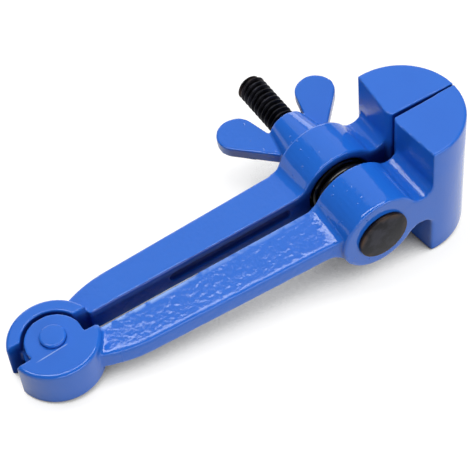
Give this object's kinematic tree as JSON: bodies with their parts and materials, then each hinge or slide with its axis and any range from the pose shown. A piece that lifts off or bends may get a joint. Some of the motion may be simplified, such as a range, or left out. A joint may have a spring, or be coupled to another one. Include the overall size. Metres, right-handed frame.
{
  "type": "hand vise",
  "caption": "Small hand vise with two enamelled cast arms on a riveted hinge, round jaws, an opening spring and a clamp screw with a wing nut.",
  "frame": {"origin": "centre of the jaws' grip, on the split plane and at the middle of the jaws' width", "axes": "+X along the arms from the hinge to the jaws' nose, +Y across the jaws towards the wing nut, +Z along the hinge pin"},
  "size_m": [0.1268, 0.0618, 0.0378],
  "materials": {
    "blue_enamel": "glossy blue enamel over a rough casting",
    "black_oxide_steel": "black oxide, slightly oiled",
    "black_spring_steel": "black oiled spring wire",
    "zinc_plated_steel": "bright zinc plate"
  },
  "bodies": {
    "frame": {"fixed_jaw_arm": "blue_enamel", "hinge_pin": "blue_enamel", "clamp_screw": "black_oxide_steel", "opening_spring": "black_spring_steel"},
    "moving_arm": {"moving_jaw_arm": "blue_enamel"},
    "nut_carriage": {"thrust_washer": "zinc_plated_steel"},
    "wing_nut": {"wing_nut": "blue_enamel"}
  },
  "joints": [
    {"name": "jaw_hinge", "type": "hinge", "parent": "frame", "child": "moving_arm", "pos_m": [-0.10615, 0, 0], "axis": [0, 0, 1], "range_deg": [0, 10], "deforming": ["opening_spring"]},
    {"name": "nut_travel", "type": "slide", "parent": "frame", "child": "nut_carriage", "axis": [0, 1, 0], "range_m": [0, 0.0166]},
    {"name": "nut_spin", "type": "hinge", "parent": "nut_carriage", "child": "wing_nut", "pos_m": [-0.02335, 0.0162, 0], "axis": [0, 1, 0], "range_deg": [0, 3735]}
  ],
  "couplings": [
    {"joint": "jaw_hinge", "follows": "nut_spin", "ratio": 0.0026773},
    {"joint": "nut_travel", "follows": "nut_spin", "m_per_rad": 0.00025464}
  ]
}
